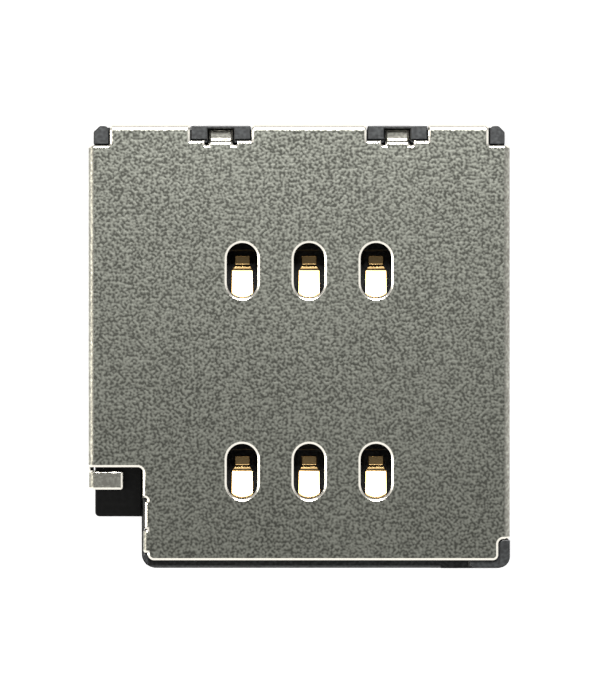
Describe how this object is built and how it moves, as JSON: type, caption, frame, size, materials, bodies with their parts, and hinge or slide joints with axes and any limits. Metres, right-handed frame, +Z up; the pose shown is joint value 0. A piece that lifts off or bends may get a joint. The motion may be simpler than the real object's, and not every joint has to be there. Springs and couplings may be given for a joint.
{
  "type": "sim card socket",
  "caption": "Push-in, push-out micro SIM card socket for a circuit board: folded steel shell over a black moulded housing, spring contacts under slots, and a sprung ejector slider.",
  "frame": {"origin": "centre of the contact grid, on the board's surface under the housing", "axes": "+Y is the way the card goes in, +Z is up from the board, +X is to the right seen from the card's mouth"},
  "size_m": [0.016, 0.0169, 0.0014],
  "materials": {
    "housing_plastic": "moulded black, fine matt texture",
    "shell_steel": "stamped stainless steel with a fine matt grain",
    "contact_gold": "copper alloy strip, gold plated",
    "slider_plastic": "moulded black",
    "spring_steel": "drawn stainless wire"
  },
  "bodies": {
    "base": {"housing": "housing_plastic", "shell": "shell_steel", "contact_c1": "contact_gold", "contact_c2": "contact_gold", "contact_c3": "contact_gold", "contact_c5": "contact_gold", "contact_c6": "contact_gold", "contact_c7": "contact_gold", "eject_spring": "spring_steel", "switch_spring": "contact_gold", "switch_terminal": "contact_gold"},
    "slider": {"slider": "slider_plastic"},
    "cam_pin": {"cam_pin": "spring_steel"}
  },
  "joints": [
    {"name": "slider_slide", "type": "slide", "parent": "base", "child": "slider", "axis": [0, 1, 0], "range_m": [0, 0.0035], "stiffness_N_per_m": 300, "deforming": ["eject_spring"]},
    {"name": "cam_pin_swing", "type": "hinge", "parent": "base", "child": "cam_pin", "pos_m": [-0.00726, 0.00868, 0.0006], "axis": [0, 0, 1], "range_deg": [0, 3.45]}
  ],
  "couplings": [
    {"joint": "cam_pin_swing", "follows": "slider_slide", "rad_per_m": 17.068}
  ]
}
